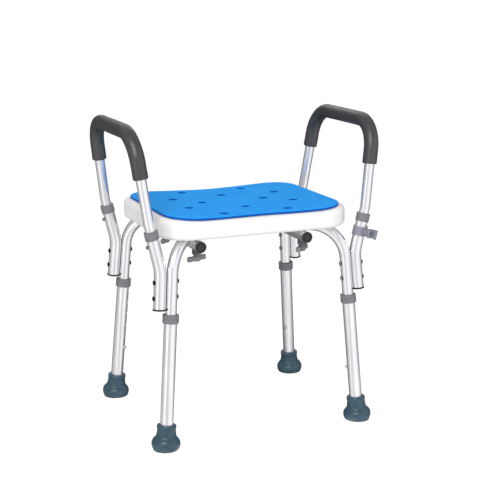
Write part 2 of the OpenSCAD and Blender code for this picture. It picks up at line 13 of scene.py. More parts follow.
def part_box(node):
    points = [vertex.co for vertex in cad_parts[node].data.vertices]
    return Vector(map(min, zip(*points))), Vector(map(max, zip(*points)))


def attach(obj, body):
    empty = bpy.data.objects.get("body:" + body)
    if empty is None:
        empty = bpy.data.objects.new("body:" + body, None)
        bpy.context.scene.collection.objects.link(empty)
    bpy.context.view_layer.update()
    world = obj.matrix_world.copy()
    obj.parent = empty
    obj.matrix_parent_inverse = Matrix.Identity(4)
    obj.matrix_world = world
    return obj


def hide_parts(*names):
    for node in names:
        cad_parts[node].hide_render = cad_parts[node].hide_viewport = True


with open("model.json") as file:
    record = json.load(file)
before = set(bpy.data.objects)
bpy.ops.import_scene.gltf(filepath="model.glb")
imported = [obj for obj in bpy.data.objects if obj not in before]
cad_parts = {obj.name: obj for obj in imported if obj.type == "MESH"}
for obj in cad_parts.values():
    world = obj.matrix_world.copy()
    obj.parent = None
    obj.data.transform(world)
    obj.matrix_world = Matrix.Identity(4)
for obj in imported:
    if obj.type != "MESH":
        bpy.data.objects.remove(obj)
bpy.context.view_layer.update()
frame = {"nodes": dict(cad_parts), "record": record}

MM = 0.001
CORNERS = {"fl": (-1, -1), "fr": (1, -1), "rl": (-1, 1), "rr": (1, 1)}

# ---- driving dimensions, as in the CAD model ----

SEAT_W = 398 * MM
SEAT_D = 314 * MM
SEAT_CORNER = 64 * MM
SEAT_TOP = 437 * MM
DISH_R = 3240 * MM
DRAIN_R = 7 * MM
DRAINS = (
    [(x, y) for x in (-113, 113) for y in (-47, 47)]
    + [(x, y) for x in (-67, 67) for y in (-118, 0, 118)]
    + [(0, y) for y in (-65, 65)]
)
FRAME_Z = 400 * MM
FRAME_R = 11.1 * MM
GROOVE_HALF = 206 * MM
LEG_AZIMUTH = math.radians(38.13)
LEG_LEAN = math.radians(5.37)
LEG_REACH = 265 * MM
SIDE_X = 113.6 * MM
SIDE_HALF = 111 * MM
INSERT_R = 6 * MM
INSERT_TOP = 427.6 * MM
STUD_R = 4 * MM
WING_Z = 351.5 * MM
WING_TURNS = {"fl": 22, "fr": 41, "rl": 50, "rr": -20}

LEG_BUTTON_S = 110.4 * MM
COLLAR_S = 256 * MM
BUTTON_R = 3.5 * MM

PAD_T = 5 * MM
PAD_W = 370 * MM
PAD_D = 304 * MM
PAD_CORNER = 58 * MM
PAD_WAIST = 0.065
PAD_HOLE_R = 9 * MM

SOCKET_R = 12 * MM
SOCKET_FOOT = Vector((211.5, 147.9, 275)) * MM
SOCKET_TOP_S = 72 * MM
ARM_BUTTON_S = 50.5 * MM
BOLTS = [(325.5 * MM, 144.1 * MM), (295.5 * MM, 146.3 * MM)]

SOCKET_LEAN = math.radians(13.5)
ELBOW = Vector((206.25, 141.5, 348)) * MM
KINK_S = 91.5 * MM
ARM_LEAN_X = 0.136
ARM_LEAN_Y = 0.086
ARM_TOP = 605 * MM
ARM_BEND_R = 60 * MM
ARM_R = 10 * MM
GRIP_END_Z = 522 * MM
GRIP_R = 14.5 * MM


# ---- mesh helpers ----

def dish(x):
    """Height of the sitting surface over its lowest line."""
    return x * x / (2 * DISH_R)


def add_object(name, mesh):
    obj = bpy.data.objects.new(name, mesh)
    bpy.context.scene.collection.objects.link(obj)
    return obj


def mesh_from_rings(name, rings, closed=False):
    """A mesh skinned over rings of points, each ring with the same number of points.
    Its two ends are capped, or joined to each other if it is closed."""
    bm = bmesh.new()
    rows = [[bm.verts.new(p) for p in ring] for ring in rings]
    n = len(rows[0])
    pairs = list(zip(rows, rows[1:]))
    if closed:
        pairs.append((rows[-1], rows[0]))
    for low, high in pairs:
        for i in range(n):
            j = (i + 1) % n
            bm.faces.new((low[i], low[j], high[j], high[i]))
    if not closed:
        bm.faces.new(tuple(reversed(rows[0])))
        bm.faces.new(tuple(rows[-1]))
    bmesh.ops.recalc_face_normals(bm, faces=bm.faces)
    mesh = bpy.data.meshes.new(name)
    bm.to_mesh(mesh)
    bm.free()
    return mesh


def apply_modifiers(obj):
    """Bakes an object's modifiers into its mesh."""
    depsgraph = bpy.context.evaluated_depsgraph_get()
    mesh = bpy.data.meshes.new_from_object(obj.evaluated_get(depsgraph))
    obj.modifiers.clear()
    obj.data = mesh


def smooth(obj, degrees=35):
    """Smooth shading, with edges sharper than the given angle left sharp."""
    mesh = obj.data
    for face in mesh.polygons:
        face.use_smooth = True
    mesh.set_sharp_from_angle(angle=math.radians(degrees))


def cut(obj, cutter):
    """Takes the cutter away from obj and deletes the cutter."""
    boolean = obj.modifiers.new("cut", "BOOLEAN")
    boolean.operation = "DIFFERENCE"
    boolean.solver = "EXACT"
    boolean.use_self = True
    boolean.object = cutter
    apply_modifiers(obj)
    bpy.data.objects.remove(cutter)


def fuse(obj, other):
    """Joins other to obj as one skin and deletes other."""
    boolean = obj.modifiers.new("fuse", "BOOLEAN")
    boolean.operation = "UNION"
    boolean.solver = "EXACT"
    boolean.object = other
    apply_modifiers(obj)
    bpy.data.objects.remove(other)


def lathe_rings(profile, segments, matrix=Matrix()):
    """Rings round the Z axis for a profile of radius and height."""
    return [
        [matrix @ Vector((r * math.cos(a), r * math.sin(a), z)) for a in
         (2 * math.pi * i / segments for i in range(segments))]
        for r, z in profile
    ]


def joined(name, meshes):
    """One object from several meshes."""
    bm = bmesh.new()
    for mesh in meshes:
        bm.from_mesh(mesh)
    whole = bpy.data.meshes.new(name)
    bm.to_mesh(whole)
    bm.free()
    return add_object(name, whole)


def arc(centre_r, centre_z, radius, start, stop, count=5, height=None):
    """Points of radius and height along an arc, with its angles in degrees."""
    angles = [math.radians(start + (stop - start) * i / count) for i in range(count + 1)]
    tall = radius if height is None else height
    return [(centre_r + radius * math.cos(a), centre_z + tall * math.sin(a)) for a in angles]


def flowing(points, per=4):
    """A smooth curve through the given points of radius and height."""
    ends = [points[0]] + list(points) + [points[-1]]
    result = []
    for p0, p1, p2, p3 in zip(ends, ends[1:], ends[2:], ends[3:]):
        for i in range(per):
            t = i / per
            result.append(tuple(
                0.5 * (2 * b + (c - a) * t + (2 * a - 5 * b + 4 * c - d) * t * t
                       + (3 * b - a - 3 * c + d) * t ** 3)
                for a, b, c, d in zip(p0, p1, p2, p3)))
    return result + [points[-1]]


def slab(name, outline, levels):
    """An outline stacked up through levels of (inset, height), for soft-edged flat shapes."""
    n = len(outline)
    inward = []
    for i in range(n):
        along = (outline[(i + 1) % n] - outline[i - 1]).normalized()
        inward.append(Vector((-along.y, along.x)))
    rings = [[Vector((p.x + q.x * inset, p.y + q.y * inset, z)) for p, q in zip(outline, inward)]
             for inset, z in levels]
    return mesh_from_rings(name, rings)


def rounded_rectangle(half_w, half_d, r):
    """Points round a rectangle with round corners, the same number whatever its size."""
    steps = 14
    points = []
    corners = [(1, 1, 0), (-1, 1, 90), (-1, -1, 180), (1, -1, 270)]
    for k, (sx, sy, start) in enumerate(corners):
        centre = Vector((sx * (half_w - r), sy * (half_d - r)))
        for i in range(steps + 1):
            a = math.radians(start + 90 * i / steps)
            points.append(centre + r * Vector((math.cos(a), math.sin(a))))
        nsx, nsy, nstart = corners[(k + 1) % 4]
        a = math.radians(nstart)
        following = (Vector((nsx * (half_w - r), nsy * (half_d - r)))
                     + r * Vector((math.cos(a), math.sin(a))))
        last = points[-1]
        points += [last.lerp(following, i / steps) for i in range(1, steps)]
    return points


# ---- places ----

def leg_space(sx, sy):
    """A leg's own space: Z up along it from the floor, X away from the stool."""
    return (Matrix.Diagonal((sx, sy, 1, 1)) @ Matrix.Rotation(LEG_AZIMUTH, 4, "Z")
            @ Matrix.Translation((LEG_REACH, 0, 0)) @ Matrix.Rotation(-LEG_LEAN, 4, "Y"))


def socket_space(sx, sy):
    """An arm socket's own space: Z up along its upper stretch from the elbow, X outwards."""
    return (Matrix.Diagonal((sx, sy, 1, 1)) @ Matrix.Translation(ELBOW)
            @ Matrix.Rotation(SOCKET_LEAN, 4, "Y"))


def leg_x_at(z):
    return (LEG_REACH - z * math.tan(LEG_LEAN)) * math.cos(LEG_AZIMUTH)


def socket_x_at(z):
    part = (z - SOCKET_FOOT.z) / (ELBOW.z - SOCKET_FOOT.z)
    return SOCKET_FOOT.x + (ELBOW.x - SOCKET_FOOT.x) * part


# ---- material helpers ----

# directions seen from above, in degrees from the X axis
FRONT_AZIMUTH = 247.5
SOFTBOX_AZIMUTH = 291
STRIP_AZIMUTH = 210


class Graph:
    """A node tree being made."""

    def __init__(self, tree):
        self.nodes = tree.nodes
        self.links = tree.links

    def node(self, kind, **settings):
        made = self.nodes.new(kind)
        for key, value in settings.items():
            setattr(made, key, value)
        return made

    def feed(self, socket, value):
        if isinstance(value, (int, float)):
            socket.default_value = value
        elif isinstance(value, tuple):
            wants_alpha = len(value) == 3 and len(socket.default_value) == 4
            socket.default_value = (*value, 1) if wants_alpha else value
        else:
            self.links.new(value, socket)

    def maths(self, operation, a, b=0.0):
        made = self.node("ShaderNodeMath", operation=operation)
        self.feed(made.inputs[0], a)
        self.feed(made.inputs[1], b)
        return made.outputs[0]

    def eased(self, value, start, end, low, high):
        """Low up to start, high from end on, with a smooth step between."""
        made = self.node("ShaderNodeMapRange", interpolation_type="SMOOTHSTEP")
        for socket, number in zip(made.inputs[:5], (value, start, end, low, high)):
            self.feed(socket, number)
        return made.outputs[0]

    def glow_round(self, vector, dark, light, softbox, strip=0.0):
        """Brightness by direction: dark behind the stool, light before it, a softbox and a strip."""
        split = self.node("ShaderNodeSeparateXYZ")
        self.links.new(vector, split.inputs[0])
        azimuth = self.maths("ARCTAN2", split.outputs["Y"], split.outputs["X"])
        front = self.maths("COSINE", self.maths("SUBTRACT", azimuth, math.radians(FRONT_AZIMUTH)))
        right = self.maths("COSINE", self.maths("SUBTRACT", azimuth, math.radians(SOFTBOX_AZIMUTH)))
        left = self.maths("COSINE", self.maths("SUBTRACT", azimuth, math.radians(STRIP_AZIMUTH)))
        body = self.eased(front, -0.8, 0.1, dark, light)
        body = self.maths("ADD", body, self.eased(right, 0.7, 0.97, 0.0, softbox))
        return self.maths("ADD", body, self.eased(left, 0.93, 0.995, 0.0, strip))


class Finish(Graph):
    """A material being made: its nodes, its shader, and the object's own coordinates in metres."""

    def __init__(self, name, roughness=0.5, metallic=0.0, colour=None):
        self.material = bpy.data.materials.new(name)
        self.material.use_nodes = True
        super().__init__(self.material.node_tree)
        self.shader = self.nodes["Principled BSDF"]
        self.shader.inputs["Roughness"].default_value = roughness
        self.shader.inputs["Metallic"].default_value = metallic
        if colour:
            self.shader.inputs["Base Color"].default_value = (*colour, 1)
            self.material.diffuse_color = (*colour, 1)
        self.coords = self.nodes.new("ShaderNodeTexCoord").outputs["Object"]

    def stretched(self, scale):
        mapping = self.node("ShaderNodeMapping")
        self.links.new(self.coords, mapping.inputs["Vector"])
        mapping.inputs["Scale"].default_value = scale
        return mapping.outputs["Vector"]

    def noise(self, scale, detail=2.0, rough=0.5, stretch=None):
        made = self.node("ShaderNodeTexNoise")
        self.links.new(self.stretched(stretch) if stretch else self.coords, made.inputs["Vector"])
        made.inputs["Scale"].default_value = scale
        made.inputs["Detail"].default_value = detail
        made.inputs["Roughness"].default_value = rough
        return made.outputs["Fac"]

    def cells(self, scale):
        made = self.node("ShaderNodeTexVoronoi")
        self.links.new(self.coords, made.inputs["Vector"])
        made.inputs["Scale"].default_value = scale
        return made.outputs["Distance"]

    def ramp(self, factor, *stops):
        """Maps a factor through stops of (position, grey or colour)."""
        made = self.node("ShaderNodeValToRGB")
        self.feed(made.inputs["Fac"], factor)
        elements = made.color_ramp.elements
        while len(elements) < len(stops):
            elements.new(0.5)
        for element, (position, value) in zip(elements, stops):
            element.position = position
            element.color = (*value, 1) if isinstance(value, tuple) else (value, value, value, 1)
        return made.outputs["Color"]

    def mix(self, factor, a, b):
        made = self.node("ShaderNodeMix", data_type="RGBA")
        self.feed(made.inputs[0], factor)
        self.feed(made.inputs[6], a)
        self.feed(made.inputs[7], b)
        return made.outputs[2]

    def edges(self):
        """1 on convex edges, 0 elsewhere."""
        geometry = self.node("ShaderNodeNewGeometry")
        return self.ramp(geometry.outputs["Pointiness"], (0.5, 0.0), (0.56, 1.0))

    def colour(self, value):
        self.feed(self.shader.inputs["Base Color"], value)

    def roughness(self, factor, low, high):
        self.feed(self.shader.inputs["Roughness"], self.ramp(factor, (0.25, low), (0.75, high)))

    def bump(self, height, strength, distance):
        """Adds a bump on top of those already there."""
        made = self.node("ShaderNodeBump")
        made.inputs["Strength"].default_value = strength
        made.inputs["Distance"].default_value = distance
        self.feed(made.inputs["Height"], height)
        normal = self.shader.inputs["Normal"]
        if normal.is_linked:
            self.links.new(normal.links[0].from_socket, made.inputs["Normal"])
        self.links.new(made.outputs["Normal"], normal)

    def set(self, name, value):
        self.shader.inputs[name].default_value = value


def tinted(colour, gain):
    return tuple(min(1.0, c * gain) for c in colour)


# ---- materials ----

def seat_plastic():
    f = Finish("seat_plastic", roughness=0.4, colour=(0.86, 0.855, 0.845))
    clouds = f.noise(9, detail=4)
    body = f.mix(f.ramp(clouds, (0.3, 0.0), (0.7, 1.0)), (0.90, 0.890, 0.876), (0.87, 0.857, 0.840))
    specks = f.ramp(f.noise(420, detail=2), (0.74, 0.0), (0.79, 1.0))
    f.colour(f.mix(specks, body, (0.72, 0.70, 0.66)))
    f.roughness(f.noise(35, detail=3), 0.34, 0.5)
    f.bump(f.noise(700, detail=2), 0.12, 0.0003)
    f.bump(f.noise(14, detail=2), 0.08, 0.002)
    f.set("Coat Weight", 0.12)
    f.set("Coat Roughness", 0.3)
    f.set("Subsurface Weight", 0.04)
    f.set("Subsurface Radius", (0.006, 0.005, 0.004))
    return f.material


def foam(name, colour, deep, light, gloss=0.06):
    """Closed-cell foam with a fine skin of small cells."""
    f = Finish(name, roughness=0.75, colour=colour)
    clouds = f.ramp(f.noise(24, detail=5, rough=0.6), (0.32, 0.0), (0.68, 1.0))
    body = f.mix(clouds, colour, light)
    pores = f.ramp(f.cells(650), (0.12, 1.0), (0.42, 0.0))
    body = f.mix(f.maths("MULTIPLY", pores, 0.35), body, deep)
    f.colour(body)
    f.roughness(f.noise(120, detail=2), 0.62 - 0.4 * gloss, 0.85 - 0.5 * gloss)
    f.bump(f.cells(650), 0.35, 0.0005)
    f.bump(f.noise(160, detail=3), 0.18, 0.0008)
    f.set("Specular IOR Level", gloss)
    return f.material


def aluminium(name, stretch=None):
    """Satin anodised tube. stretch draws its fine lines out along the tube."""
    f = Finish(name, roughness=0.28, metallic=1.0, colour=(0.84, 0.84, 0.86))
    clouds = f.ramp(f.noise(18, detail=4), (0.3, 0.0), (0.7, 1.0))
    f.colour(f.mix(clouds, (0.87, 0.87, 0.885), (0.81, 0.81, 0.83)))
    lines = f.noise(1.0, detail=2, stretch=stretch) if stretch else f.noise(260, detail=2)
    f.roughness(lines, 0.27, 0.34)
    f.bump(lines, 0.02, 0.0001)
    scratches = f.ramp(f.noise(1.0, detail=1, stretch=(260, 260, 1900)), (0.70, 0.0), (0.78, 1.0))
    f.bump(scratches, 0.02, 0.0001)
    return f.material


def moulded(name, colour, worn=1.7, gloss=0.5):
    """Moulded plastic with a fine spark texture and edges polished by use."""
    f = Finish(name, roughness=0.4, colour=colour)
    f.set("Specular IOR Level", gloss)
    clouds = f.ramp(f.noise(40, detail=4), (0.3, 0.0), (0.7, 1.0))
    body = f.mix(clouds, colour, tinted(colour, 1.25))
    f.colour(f.mix(f.maths("MULTIPLY", f.edges(), 0.5), body, tinted(colour, worn)))
    f.roughness(f.noise(90, detail=3), 0.4, 0.6)
    f.bump(f.noise(800, detail=2), 0.25, 0.0004)
    return f.material


def foot_rubber():
    colour = (0.019, 0.056, 0.082)
    f = Finish("foot_rubber", roughness=0.38, colour=colour)
    clouds = f.ramp(f.noise(30, detail=5, rough=0.6), (0.3, 0.0), (0.72, 1.0))
    body = f.mix(clouds, colour, tinted(colour, 1.35))
    height = f.node("ShaderNodeSeparateXYZ")
    f.links.new(f.coords, height.inputs[0])
    low_part = f.ramp(f.maths("MULTIPLY", height.outputs["Z"], 20.0), (0.02, 1.0), (0.3, 0.0))
    dust = f.ramp(f.noise(75, detail=5, rough=0.7), (0.45, 0.0), (0.75, 1.0))
    body = f.mix(f.maths("MULTIPLY", low_part, dust), body, (0.12, 0.16, 0.175))
    f.colour(f.mix(f.maths("MULTIPLY", f.edges(), 0.35), body, tinted(colour, 2.0)))
    f.roughness(f.noise(60, detail=3), 0.3, 0.4)
    f.set("Specular IOR Level", 0.55)
    f.bump(f.noise(600, detail=2), 0.05, 0.0003)
    f.bump(f.noise(45, detail=3), 0.08, 0.0012)
    return f.material


def plain_metal(name, colour, low=0.2, high=0.38):
    f = Finish(name, roughness=low, metallic=1.0, colour=colour)
    clouds = f.ramp(f.noise(120, detail=4), (0.3, 0.0), (0.7, 1.0))
    f.colour(f.mix(clouds, colour, tinted(colour, 0.8)))
    f.roughness(f.noise(240, detail=3), low, high)
    f.bump(f.noise(1500, detail=2), 0.1, 0.0002)
    return f.material


LONG_LINES = (320, 320, 5)
ALONG_Y = (320, 5, 320)
BLUE = (0.016, 0.335, 0.90)
BLUE_DEEP = (0.006, 0.14, 0.56)
BLUE_LIGHT = (0.024, 0.385, 0.95)
# painted shade: the pad's sides are the same foam as its top, darkened as if less light fell on them
BLUE_PAINTED_SHADE = (0.005, 0.085, 0.42)
CHARCOAL = (0.024, 0.0235, 0.025)

FINISHES = {
    "seat_plastic": seat_plastic(),
    "pad_foam": foam("pad_foam", BLUE, BLUE_DEEP, BLUE_LIGHT),
    "pad_foam_painted_shade": foam("pad_foam_painted_shade", BLUE_PAINTED_SHADE, tinted(BLUE_PAINTED_SHADE, 0.5), tinted(BLUE_PAINTED_SHADE, 1.4)),
    "tube_aluminium": aluminium("tube_aluminium"),
    "leg_aluminium": aluminium("leg_aluminium", LONG_LINES),
    "side_aluminium": aluminium("side_aluminium", ALONG_Y),
    "grey_plastic": moulded("grey_plastic", (0.150, 0.150, 0.163), gloss=0.35),
    "black_plastic": moulded("black_plastic", (0.003, 0.003, 0.003), worn=2.5, gloss=0.15),
    "foot_rubber": foot_rubber(),
    "grip_foam": foam("grip_foam", CHARCOAL, tinted(CHARCOAL, 0.45), tinted(CHARCOAL, 1.5), 0.8),
    "plug_plastic": moulded("plug_plastic", (0.024, 0.024, 0.024), worn=3.0, gloss=0.4),
    "saddle_plastic": moulded("saddle_plastic", (0.06, 0.06, 0.064)),
    "black_steel": plain_metal("black_steel", (0.022, 0.022, 0.023), 0.3, 0.5),
    "bright_steel": plain_metal("bright_steel", (0.60, 0.60, 0.61)),
    "button_steel": plain_metal("button_steel", (0.24, 0.205, 0.185)),
    "spring_steel": plain_metal("spring_steel", (0.50, 0.53, 0.58)),
    "brass": plain_metal("brass", (0.70, 0.48, 0.20)),
    "wing_plastic": moulded("wing_plastic", (0.17, 0.165, 0.18), worn=1.8),
    "holder_plastic": moulded("holder_plastic", (0.18, 0.185, 0.225)),
}


def finish_of(node, slot):
    """The finish of a CAD node: its slot's, apart from straight tubes and the saddle washers."""
    if node.startswith("lower_leg"):
        return FINISHES["leg_aluminium"]
    if node == "saddle_washers":
        return FINISHES["saddle_plastic"]
    if node.startswith("side_tube_") and slot == "tube_aluminium":
        return FINISHES["side_aluminium"]
    return FINISHES[slot]


def paint_cad_nodes():
    for part in frame["record"]["subparts"]:
        obj = frame["nodes"][part["node"]]
        obj.data.materials.clear()
        obj.data.materials.append(finish_of(part["node"], part["material_slot"]))


# ---- pieces ----

def seat_piece():
    """The seat as a soft-edged moulding with flared drain holes and grooves for the frames."""
    rim = 12 * MM
    foot_edge = 10 * MM
    flare = 2.2 * MM
    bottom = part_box("seat_shell")[0].z
    rings = []

    def ring(inset, z, follow):
        r = max(SEAT_CORNER - inset, 2 * MM)
        outline = rounded_rectangle(SEAT_W / 2 - inset, SEAT_D / 2 - inset, r)
        rings.append([Vector((p.x, p.y, z + follow * dish(p.x))) for p in outline])

    top = SEAT_TOP - 1 * MM
    for inset in (90, 60, 30):
        ring(inset * MM, bottom, 0)
    for i in range(7):
        a = math.radians(90 * i / 6)
        ring(foot_edge * (1 - math.sin(a)), bottom + foot_edge * (1 - math.cos(a)), 0)
    steps = 5
    wall = top - rim - bottom - foot_edge
    for i in range(1, steps):
        t = i / steps
        ring(0, bottom + foot_edge + wall * t, t)
    for i in range(11):
        a = math.radians(90 * i / 10)
        ring(rim * (1 - math.cos(a)), top - rim + rim * math.sin(a), 1)
    for inset in (18, 26, 40, 60, 85, 110, 135):
        settle = min(1.0, (inset - 12) / 14)
        ring(inset * MM, top + settle * 1 * MM, 1)
    obj = add_object("seat_moulding", mesh_from_rings("seat_moulding", rings))

    cutters = []
    for x, y in DRAINS:
        place = Matrix.Translation((x * MM, y * MM, 0))
        surface = SEAT_TOP + dish(x * MM)
        profile = [(0.001 * MM, bottom - 5 * MM), (DRAIN_R, bottom - 5 * MM)]
        profile += [(DRAIN_R + flare * (1 - math.cos(math.radians(a))),
                     surface - flare + flare * math.sin(math.radians(a))) for a in range(0, 91, 18)]
        profile += [(DRAIN_R + flare, surface + 5 * MM), (0.001 * MM, surface + 5 * MM)]
        cutters.append(mesh_from_rings("drain", lathe_rings(profile, 40, place)))
    for side in (-1, 1):
        along = Matrix.Rotation(side * LEG_AZIMUTH, 4, "Z") @ Matrix.Translation((0, 0, FRAME_Z))
        along = along @ Matrix.Rotation(math.radians(90), 4, "Y")
        groove = [(0.001 * MM, -GROOVE_HALF), (FRAME_R + 0.4 * MM, -GROOVE_HALF),
                  (FRAME_R + 0.4 * MM, GROOVE_HALF), (0.001 * MM, GROOVE_HALF)]
        cutters.append(mesh_from_rings("groove", lathe_rings(groove, 48, along)))
    crossing = FRAME_Z + 11.5 * MM
    cutters.append(mesh_from_rings("crossing", lathe_rings(
        [(0.001 * MM, bottom - 5 * MM), (36 * MM, bottom - 5 * MM), (36 * MM, crossing),
         (9 * MM, crossing), (9 * MM, crossing + 7 * MM), (0.001 * MM, crossing + 7 * MM)], 48)))
    for sx, sy in CORNERS.values():
        place = Matrix.Translation((sx * SIDE_X, sy * SIDE_X * math.tan(LEG_AZIMUTH), 0))
        cutters.append(mesh_from_rings("pocket", lathe_rings(
            [(0.001 * MM, bottom - 5 * MM), (INSERT_R, bottom - 5 * MM), (INSERT_R, INSERT_TOP),
             (0.001 * MM, INSERT_TOP)], 32, place)))
    cut(obj, joined("cutters", cutters))
    smooth(obj, 32)
    weighted = obj.modifiers.new("weighted", "WEIGHTED_NORMAL")
    weighted.keep_sharp = True
    apply_modifiers(obj)
    obj.data.materials.append(FINISHES["seat_plastic"])
    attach(obj, "stool_frame")
    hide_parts("seat_shell")


def pad_outline():
    """A rounded rectangle whose long edges dip in the middle, as points about 6 mm apart."""
    reach = PAD_W / 2 - PAD_CORNER
    points = []
    for side in (1, -1):
        for i in range(16):
            a = math.radians(90 * i / 15)
            points.append(side * Vector((reach + PAD_CORNER * math.cos(a),
                                         PAD_D / 2 - PAD_CORNER + PAD_CORNER * math.sin(a))))
        for i in range(39):
            x = reach * (1 - (i + 1) / 20)
            dip = PAD_WAIST * math.cos(math.pi / 2 * x / reach) ** 2
            points.append(side * Vector((x, PAD_D / 2 * (1 - dip))))
        for i in range(16):
            a = math.radians(90 + 90 * i / 15)
            points.append(side * Vector((-reach + PAD_CORNER * math.cos(a),
                                         PAD_D / 2 - PAD_CORNER + PAD_CORNER * math.sin(a))))
        for i in range(31):
            y = (PAD_D / 2 - PAD_CORNER) * (1 - (i + 1) / 16)
            points.append(side * Vector((-PAD_W / 2, y)))
    return points


def pad_piece():
    """The foam pad: it follows the seat, with soft edges, a slight wave and flared holes. Its sideways
    faces get a darker copy of the blue foam, which is painted shade.
    """
    outline = pad_outline()
    edge_r = PAD_T / 2 * 0.9
    lift = 0.15 * MM
    rings = []

    def wave(x, y):
        return 0.5 * MM * noise.noise(Vector((x * 14, y * 14, 3.1)))

    def ring(inset, z):
        row = []
        n = len(outline)
        for i, p in enumerate(outline):
            tangent = (outline[(i + 1) % n] - outline[i - 1]).normalized()
            inward = Vector((-tangent.y, tangent.x))
            q = p * (1 - inset / (PAD_D / 2)) if inset > 20 * MM else p + inward * inset
            uneven = wave(q.x, q.y) if z > edge_r else 0
            row.append(Vector((q.x, q.y, SEAT_TOP + dish(q.x) + z + uneven)))
        rings.append(row)

    for inset in (140, 110, 80, 50, 30):
        ring(inset * MM, lift)
    for i in range(5):
        a = math.radians(90 * i / 4)
        ring(edge_r * 0.6 * (1 - math.sin(a)), lift + edge_r * 0.6 * (1 - math.cos(a)))
    for i in range(7):
        a = math.radians(90 * i / 6)
        ring(edge_r * (1 - math.cos(a)), PAD_T - edge_r + edge_r * math.sin(a))
    for inset in (5, 8, 12, 18, 30, 50, 80, 110, 140):
        ring(inset * MM, PAD_T)
    obj = add_object("foam_pad", mesh_from_rings("foam_pad", rings))
    cutters = []
    flare = 1.2 * MM
    for x, y in DRAINS:
        place = Matrix.Translation((x * MM, y * MM, 0))
        surface = SEAT_TOP + dish(x * MM) + PAD_T
        profile = [(0.001 * MM, surface - 12 * MM), (PAD_HOLE_R, surface - 12 * MM)]
        profile += [(PAD_HOLE_R + flare * (1 - math.cos(math.radians(a))),
                     surface - flare + flare * math.sin(math.radians(a))) for a in range(0, 91, 30)]
        profile += [(PAD_HOLE_R + flare, surface + 4 * MM), (0.001 * MM, surface + 4 * MM)]
        cutters.append(mesh_from_rings("hole", lathe_rings(profile, 36, place)))
    cut(obj, joined("pad_cutters", cutters))
    smooth(obj, 40)
    obj.modifiers.new("weighted", "WEIGHTED_NORMAL").keep_sharp = True
    apply_modifiers(obj)
    obj.data.materials.append(FINISHES["pad_foam"])
    obj.data.materials.append(FINISHES["pad_foam_painted_shade"])
    # faces turned sideways get the darker foam, which is painted shade on the pad's sides
    for face in obj.data.polygons:
        face.material_index = 1 if face.normal.z < 0.55 else 0
    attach(obj, "stool_frame")
    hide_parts("seat_pad")


def rounded_path(corners, radius, step):
    """Points along straight stretches joined by bends of one radius."""
    points = [corners[0]]
    for before, at, after in zip(corners, corners[1:], corners[2:]):
        d1, d2 = (at - before).normalized(), (after - at).normalized()
        angle = d1.angle(d2)
        back = radius * math.tan(angle / 2)
        normal = (d2 - d1 * d1.dot(d2)).normalized()
        start = at - d1 * back
        centre = start + normal * radius
        count = max(2, int(radius * angle / step))
        for i in range(count + 1):
            a = angle * i / count
            points.append(centre - normal * radius * math.cos(a) + d1 * radius * math.sin(a))
    points.append(corners[-1])
    return points


def evenly(points, step):
    """The same path with points about one step apart."""
    result = [points[0]]
    for a, b in zip(points, points[1:]):
        count = max(1, round((b - a).length / step))
        result += [a.lerp(b, i / count) for i in range(1, count + 1)]
    return result


def grip_piece(side_name, side):
    """A foam sleeve over the arm tube's bends, with soft ends and a slightly uneven skin."""
    up = Vector((math.sin(SOCKET_LEAN), 0, math.cos(SOCKET_LEAN)))
    kink = ELBOW + up * KINK_S
    lean = Vector((ARM_LEAN_X, -ARM_LEAN_Y, 1))
    foot = kink + lean * (GRIP_END_Z - kink.z)
    corner = kink + lean * (ARM_TOP - kink.z)
    corners = [foot, corner, Vector((corner.x, -corner.y, corner.z)), Vector((foot.x, -foot.y, foot.z))]
    corners = [Vector((side * p.x, p.y, p.z)) for p in corners]
    path = evenly(rounded_path(corners, ARM_BEND_R, 3 * MM), 3 * MM)
    lengths = [0.0]
    for a, b in zip(path, path[1:]):
        lengths.append(lengths[-1] + (b - a).length)
    total = lengths[-1]
    segments = 40
    rings = []

    def ring(p, tangent, radius, seed):
        across = Vector((side, 0, 0)) - tangent * tangent.x * side
        across.normalize()
        other = tangent.cross(across)
        row = []
        for i in range(segments):
            a = 2 * math.pi * i / segments
            out = across * math.cos(a) + other * math.sin(a)
            uneven = 0.25 * MM * noise.noise((p + out * radius) * 55) if seed else 0
            row.append(p + out * (radius + uneven))
        rings.append(row)

    tangents = []
    for i, p in enumerate(path):
        a, b = path[max(0, i - 1)], path[min(len(path) - 1, i + 1)]
        tangents.append((b - a).normalized())
    lip = 2.2 * MM
    inner = ARM_R + 0.1 * MM
    start, end = path[0], path[-1]
    ring(start + tangents[0] * 0.4 * MM, tangents[0], inner, 0)
    ring(start + tangents[0] * 0.05 * MM, tangents[0], inner + 0.5 * MM, 0)
    for i in range(6):
        a = math.radians(90 * i / 5)
        ring(start + tangents[0] * lip * (1 - math.cos(a)), tangents[0],
             GRIP_R - lip + lip * math.sin(a), 0)
    for p, t, s in zip(path, tangents, lengths):
        if lip < s < total - lip:
            ring(p, t, GRIP_R, 1)
    for i in range(6):
        a = math.radians(90 * i / 5)
        ring(end - tangents[-1] * lip * (1 - math.sin(a)), tangents[-1],
             GRIP_R - lip + lip * math.cos(a), 0)
    ring(end - tangents[-1] * 0.05 * MM, tangents[-1], inner + 0.5 * MM, 0)
    for p, t, s in reversed(list(zip(path, tangents, lengths))):
        if 0.5 * MM < s < total - 0.5 * MM:
            ring(p, t, inner, 0)
    obj = add_object(f"foam_grip_{side_name}", mesh_from_rings("foam_grip", rings, closed=True))
    finish_piece(obj, f"arm_{side_name}", "grip_foam", f"arm_grip_{side_name}", 60)


def turned(name, body, slot, stands_for, turns, segments=48, closed=False, finish=None, without=()):
    """A piece turned on a lathe: turns holds a profile of radius and height, and its place, for each."""
    obj = joined(name, [mesh_from_rings(name, lathe_rings(profile, segments, place), closed=closed)
                        for profile, place in turns])
    if without:
        cut(obj, joined("cutters", without))
    finish_piece(obj, body, slot, stands_for, finish=finish)


